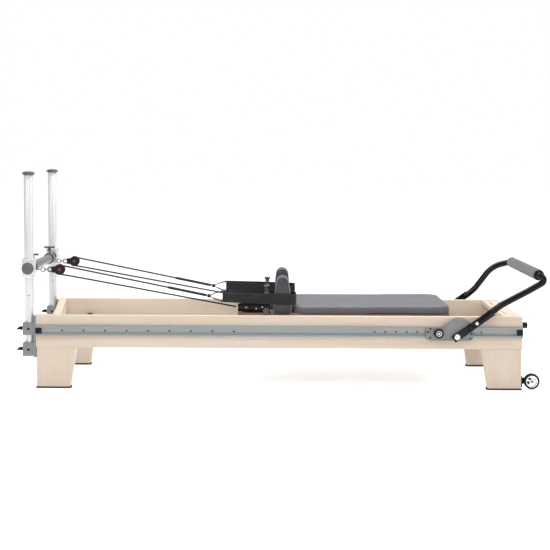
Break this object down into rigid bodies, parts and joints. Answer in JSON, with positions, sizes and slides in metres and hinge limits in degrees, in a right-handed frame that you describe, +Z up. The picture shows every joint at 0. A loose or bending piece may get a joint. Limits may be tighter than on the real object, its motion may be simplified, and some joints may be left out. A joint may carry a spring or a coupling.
{
  "type": "pilates reformer",
  "caption": "Low wooden bed frame with a sliding padded carriage on springs, roped pulleys on two upright poles at one end and an adjustable foam footbar at the other.",
  "frame": {"origin": "on the floor, at the middle of the wooden frame", "axes": "+X towards the footbar, +Y across the frame, +Z up"},
  "size_m": [2.608, 0.7848, 1.071],
  "materials": {
    "maple_wood": "clear lacquered pale wood",
    "aluminium": "brushed anodised",
    "steel": "satin",
    "dark_plastic": "fine grain black",
    "grey_plastic": "satin grey",
    "black_paint": "black powder coat",
    "grey_paint": "grey powder coat",
    "vinyl": "dark grey upholstery vinyl",
    "foam": "closed cell foam",
    "rubber": "black rubber",
    "tyre": "black tyre with silver hub",
    "rope": "braided black rope",
    "webbing": "black webbing",
    "plywood": "plywood with dark face"
  },
  "bodies": {
    "frame": {"side_boards": "maple_wood", "head_board": "maple_wood", "foot_board": "maple_wood", "foot_platform": "maple_wood", "legs": "maple_wood", "cross_beams": "maple_wood", "foot_pads": "rubber", "tracks": "aluminium", "track_end_caps": "dark_plastic", "track_screws": "steel", "inner_rails": "aluminium", "rubber_stops": "rubber", "spring_bar": "aluminium", "pole_brackets": "grey_paint", "poles": "aluminium", "pole_caps": "grey_plastic", "wheel_brackets": "black_paint", "springs": "steel"},
    "crossbar": {"cross_tube": "aluminium", "crossbar_clamps": "aluminium", "crossbar_caps": "grey_plastic", "pulley_hangers": "steel", "pulley_housings": "dark_plastic", "rope_near": "rope", "rope_far": "rope"},
    "carriage": {"carriage_base": "plywood", "carriage_pad": "vinyl", "shoulder_rests": "vinyl", "strap_posts": "grey_paint", "rope_arms": "black_paint", "carriage_brackets": "steel", "hand_loops": "webbing"},
    "headrest_tray": {"headrest": "vinyl", "headrest_board": "plywood"},
    "footbar_slider": {"sector_plates": "grey_paint", "slide_shoes": "dark_plastic", "sector_screws": "steel"},
    "footbar": {"footbar_arms": "black_paint", "footbar_tube": "black_paint", "grip_foam": "foam", "grip_rings": "rubber", "footbar_bolts": "steel"},
    "wing_screw_far_high_body": {"wing_screw_far_high": "dark_plastic"},
    "wing_screw_far_low_body": {"wing_screw_far_low": "dark_plastic"},
    "wing_screw_near_high_body": {"wing_screw_near_high": "dark_plastic"},
    "wing_screw_near_low_body": {"wing_screw_near_low": "dark_plastic"},
    "pulley_near_body": {"pulley_near": "grey_plastic"},
    "pulley_far_body": {"pulley_far": "grey_plastic"},
    "crossbar_screw_near_body": {"crossbar_screw_near": "dark_plastic"},
    "crossbar_screw_far_body": {"crossbar_screw_far": "dark_plastic"},
    "arm_knob_near_body": {"arm_knob_near": "grey_plastic"},
    "arm_knob_far_body": {"arm_knob_far": "grey_plastic"},
    "rollers_head_body": {"rollers_head": "dark_plastic"},
    "rollers_foot_body": {"rollers_foot": "dark_plastic"},
    "track_knob_near_body": {"track_knob_near": "dark_plastic"},
    "track_knob_far_body": {"track_knob_far": "dark_plastic"},
    "index_pin_near_body": {"index_pin_near": "dark_plastic"},
    "index_pin_far_body": {"index_pin_far": "dark_plastic"},
    "wheel_near_body": {"wheel_near": "tyre"},
    "wheel_far_body": {"wheel_far": "tyre"}
  },
  "joints": [
    {"name": "carriage_slide", "type": "slide", "parent": "frame", "child": "carriage", "axis": [-1, 0, 0], "range_m": [0, 0.6], "stiffness_N_per_m": 360, "springref_m": -0.02, "deforming": ["rope_near", "rope_far", "springs"]},
    {"name": "rollers_head_spin", "type": "hinge", "parent": "carriage", "child": "rollers_head_body", "pos_m": [0.07, 0, 0.2823], "axis": [0, 1, 0], "continuous": true},
    {"name": "rollers_foot_spin", "type": "hinge", "parent": "carriage", "child": "rollers_foot_body", "pos_m": [0.78, 0, 0.2823], "axis": [0, 1, 0], "continuous": true},
    {"name": "headrest_tilt", "type": "hinge", "parent": "carriage", "child": "headrest_tray", "pos_m": [0.05, 0, 0.3695], "axis": [0, 1, 0], "range_deg": [0, 25]},
    {"name": "crossbar_slide", "type": "slide", "parent": "frame", "child": "crossbar", "axis": [0, 0, 1], "range_m": [-0.18, 0.38], "deforming": ["rope_near", "rope_far"]},
    {"name": "pulley_near_spin", "type": "hinge", "parent": "crossbar", "child": "pulley_near_body", "pos_m": [-1.103, -0.212, 0.577], "axis": [0, 1, 0], "continuous": true},
    {"name": "crossbar_screw_near_turn", "type": "hinge", "parent": "crossbar", "child": "crossbar_screw_near_body", "pos_m": [-1.238, -0.212, 0.64], "axis": [0, 0, 1], "continuous": true},
    {"name": "arm_knob_near_turn", "type": "hinge", "parent": "carriage", "child": "arm_knob_near_body", "pos_m": [-0.066, -0.235, 0.374], "axis": [0, 1, 0], "continuous": true},
    {"name": "wheel_near_spin", "type": "hinge", "parent": "frame", "child": "wheel_near_body", "pos_m": [1.252, -0.312, 0.042], "axis": [0, 1, 0], "continuous": true},
    {"name": "wing_screw_near_low_turn", "type": "hinge", "parent": "frame", "child": "wing_screw_near_low_body", "pos_m": [-1.28, -0.3, 0.1915], "axis": [1, 0, 0], "continuous": true},
    {"name": "wing_screw_near_high_turn", "type": "hinge", "parent": "frame", "child": "wing_screw_near_high_body", "pos_m": [-1.28, -0.3, 0.294], "axis": [1, 0, 0], "continuous": true},
    {"name": "pulley_far_spin", "type": "hinge", "parent": "crossbar", "child": "pulley_far_body", "pos_m": [-1.103, 0.212, 0.577], "axis": [0, 1, 0], "continuous": true},
    {"name": "crossbar_screw_far_turn", "type": "hinge", "parent": "crossbar", "child": "crossbar_screw_far_body", "pos_m": [-1.238, 0.212, 0.64], "axis": [0, 0, 1], "continuous": true},
    {"name": "arm_knob_far_turn", "type": "hinge", "parent": "carriage", "child": "arm_knob_far_body", "pos_m": [-0.066, 0.235, 0.374], "axis": [0, 1, 0], "continuous": true},
    {"name": "wheel_far_spin", "type": "hinge", "parent": "frame", "child": "wheel_far_body", "pos_m": [1.252, 0.312, 0.042], "axis": [0, 1, 0], "continuous": true},
    {"name": "wing_screw_far_low_turn", "type": "hinge", "parent": "frame", "child": "wing_screw_far_low_body", "pos_m": [-1.28, 0.3, 0.1915], "axis": [1, 0, 0], "continuous": true},
    {"name": "wing_screw_far_high_turn", "type": "hinge", "parent": "frame", "child": "wing_screw_far_high_body", "pos_m": [-1.28, 0.3, 0.294], "axis": [1, 0, 0], "continuous": true},
    {"name": "footbar_slide", "type": "slide", "parent": "frame", "child": "footbar_slider", "axis": [1, 0, 0], "range_m": [-0.3156, 0.1578]},
    {"name": "footbar_tilt", "type": "hinge", "parent": "footbar_slider", "child": "footbar", "pos_m": [0.873, 0, 0.269], "axis": [0, -1, 0], "range_deg": [0, 57]},
    {"name": "track_knob_near_pull", "type": "slide", "parent": "footbar_slider", "child": "track_knob_near_body", "axis": [0, -1, 0], "range_m": [0, 0.008], "stiffness_N_per_m": 400, "springref_m": -0.004},
    {"name": "index_pin_near_pull", "type": "slide", "parent": "footbar", "child": "index_pin_near_body", "axis": [0, -1, 0], "range_m": [0, 0.008], "stiffness_N_per_m": 400, "springref_m": -0.004},
    {"name": "track_knob_far_pull", "type": "slide", "parent": "footbar_slider", "child": "track_knob_far_body", "axis": [0, 1, 0], "range_m": [0, 0.008], "stiffness_N_per_m": 400, "springref_m": -0.004},
    {"name": "index_pin_far_pull", "type": "slide", "parent": "footbar", "child": "index_pin_far_body", "axis": [0, 1, 0], "range_m": [0, 0.008], "stiffness_N_per_m": 400, "springref_m": -0.004}
  ],
  "couplings": [
    {"joint": "rollers_head_spin", "follows": "carriage_slide", "rad_per_m": -55.556},
    {"joint": "rollers_foot_spin", "follows": "carriage_slide", "rad_per_m": -55.556}
  ]
}
